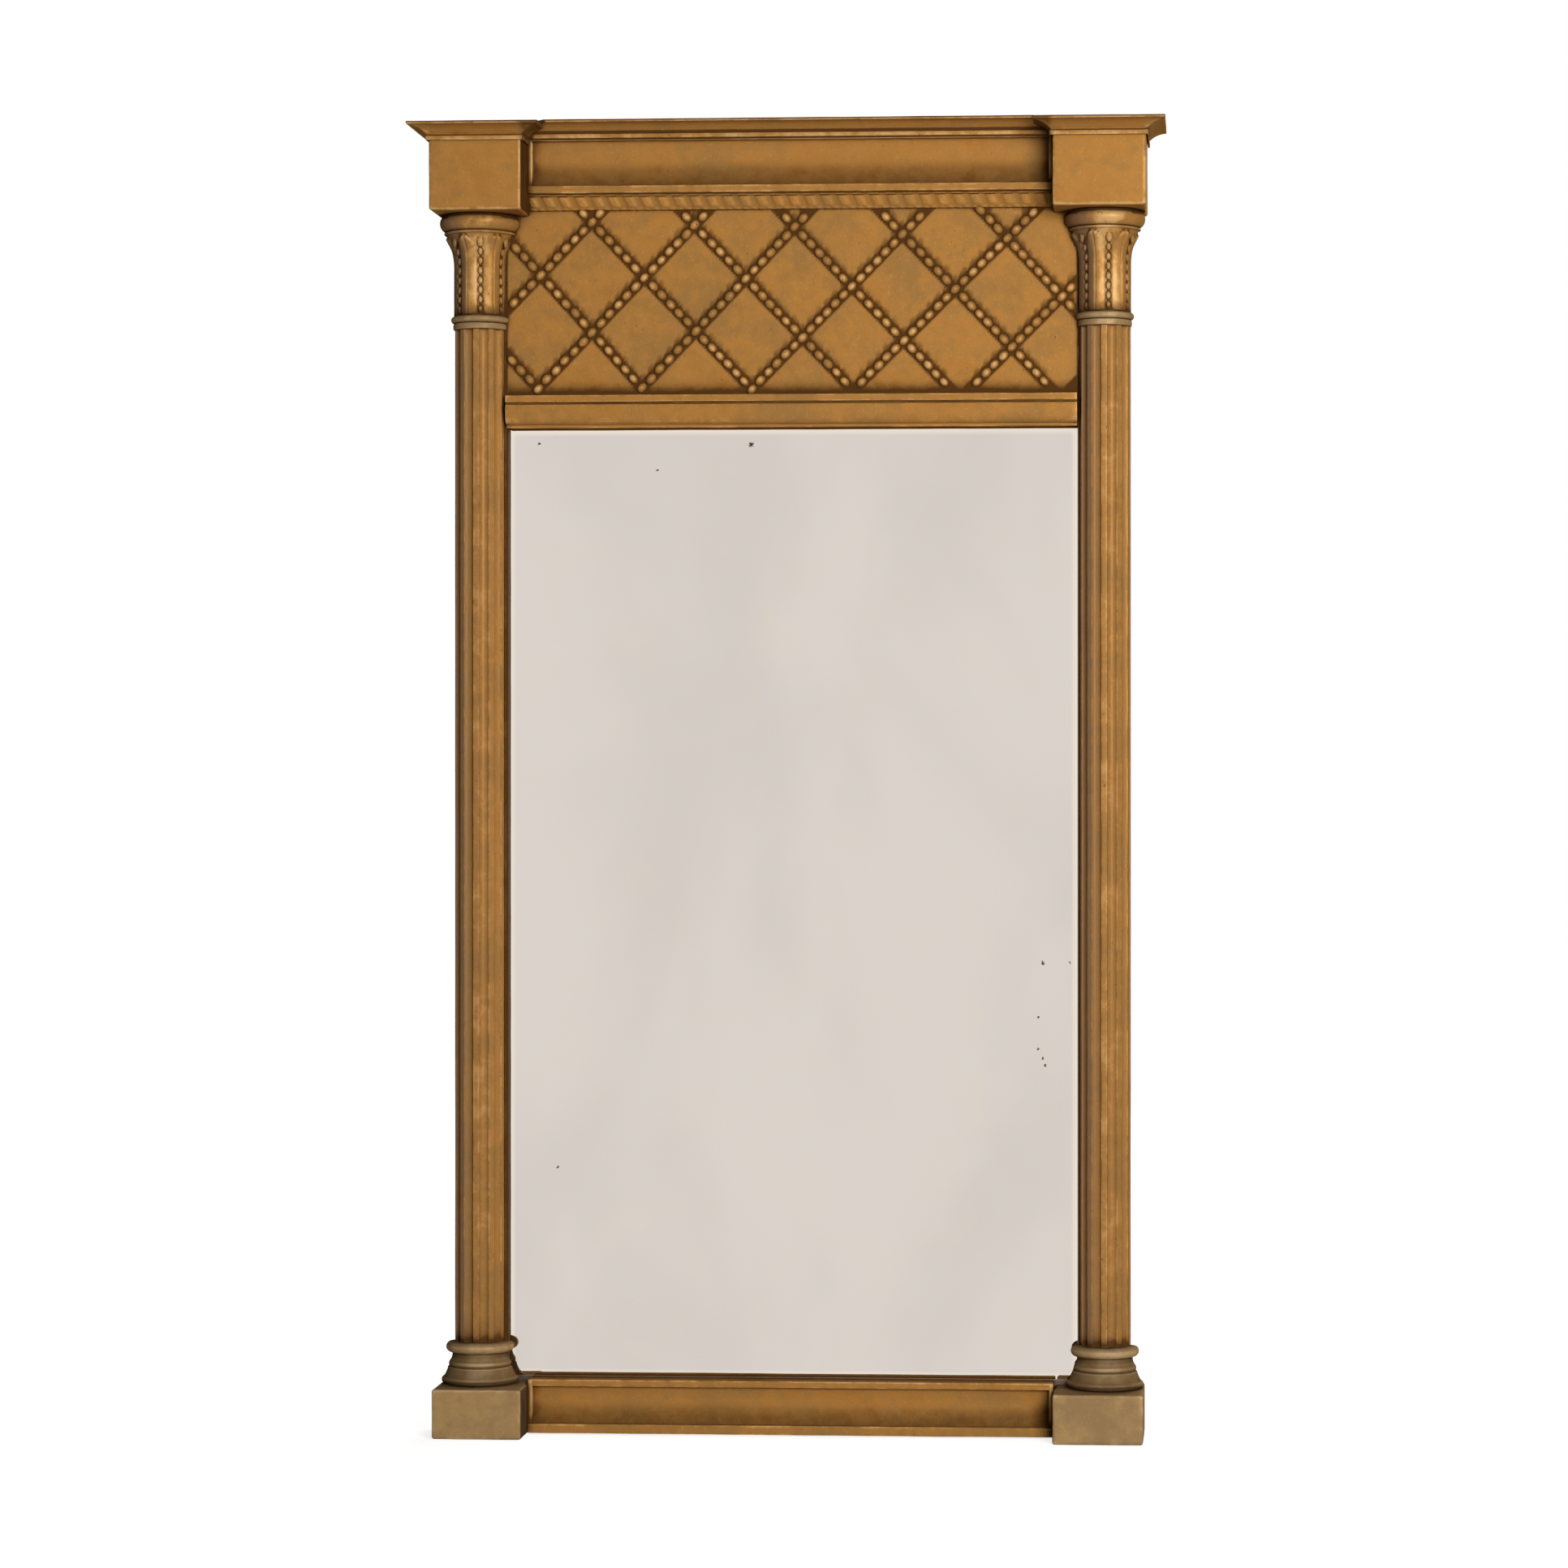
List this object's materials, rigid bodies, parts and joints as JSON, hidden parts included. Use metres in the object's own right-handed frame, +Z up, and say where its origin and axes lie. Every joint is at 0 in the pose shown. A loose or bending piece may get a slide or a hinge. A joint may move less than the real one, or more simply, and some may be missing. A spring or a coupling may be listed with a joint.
{
  "type": "giltwood pier mirror",
  "caption": "Upright giltwood wall mirror with a bead-trellis frieze over the plate, fluted columns at the sides, corner blocks under a mitred cornice, and hanging rings behind.",
  "frame": {"origin": "on the wall plane, at the middle of the top rail's rear face", "axes": "+X to the viewer's right, +Y into the wall, +Z up"},
  "size_m": [0.533, 0.0785, 0.9327],
  "materials": {
    "gilt": "gold leaf over red bole and gesso, rubbed on the edges, dirt in the hollows",
    "gilt_toned": "dulled and retouched gilding, greyer than the rest",
    "mirror_glass": "old silvered plate with a warm grey tint and small foxing spots",
    "aged_pine": "bare softwood, sawn and darkened by age",
    "brass": "tarnished sheet and wire",
    "nail_iron": "rusty flat heads"
  },
  "bodies": {
    "frame": {"backboard_1": "aged_pine", "backboard_2": "aged_pine", "backboard_3": "aged_pine", "backboard_nails": "nail_iron", "bottom_rail_moulding": "gilt", "capital_left": "gilt", "capital_right": "gilt", "carcass_bottom_rail": "aged_pine", "carcass_mid_rail": "aged_pine", "carcass_pegs": "aged_pine", "carcass_stile_left": "aged_pine", "carcass_stile_right": "aged_pine", "carcass_top_rail": "aged_pine", "column_base_left": "gilt_toned", "column_base_right": "gilt_toned", "column_shaft_left": "gilt", "column_shaft_right": "gilt", "corner_block_left": "gilt", "corner_block_right": "gilt", "cornice_top_board": "aged_pine", "cove_moulding": "gilt", "crown_centre": "gilt", "crown_front_left": "gilt", "crown_front_right": "gilt", "crown_inner_left": "gilt", "crown_inner_right": "gilt", "crown_outer_left": "gilt", "crown_outer_right": "gilt", "frieze_panel": "gilt", "glass_wedges": "aged_pine", "hanger_plate_left": "brass", "hanger_plate_right": "brass", "hanger_screws": "brass", "hanging_batten": "aged_pine", "leaf_tip_moulding": "gilt", "mid_rail_moulding": "gilt", "mirror_plate": "mirror_glass", "necking_ring_left": "gilt_toned", "necking_ring_right": "gilt_toned", "plinth_block_left": "gilt_toned", "plinth_block_right": "gilt_toned", "sight_slip_left": "gilt", "sight_slip_right": "gilt", "trellis_strands_falling": "gilt", "trellis_strands_rising": "gilt"},
    "ring_left": {"hanger_ring_left": "brass"},
    "ring_right": {"hanger_ring_right": "brass"}
  },
  "joints": [
    {"name": "ring_left_swing", "type": "hinge", "parent": "frame", "child": "ring_left", "pos_m": [-0.15, -0.0055, -0.054], "axis": [1, 0, 0], "range_deg": [0, 180]},
    {"name": "ring_right_swing", "type": "hinge", "parent": "frame", "child": "ring_right", "pos_m": [0.15, -0.0055, -0.054], "axis": [1, 0, 0], "range_deg": [0, 180]}
  ]
}
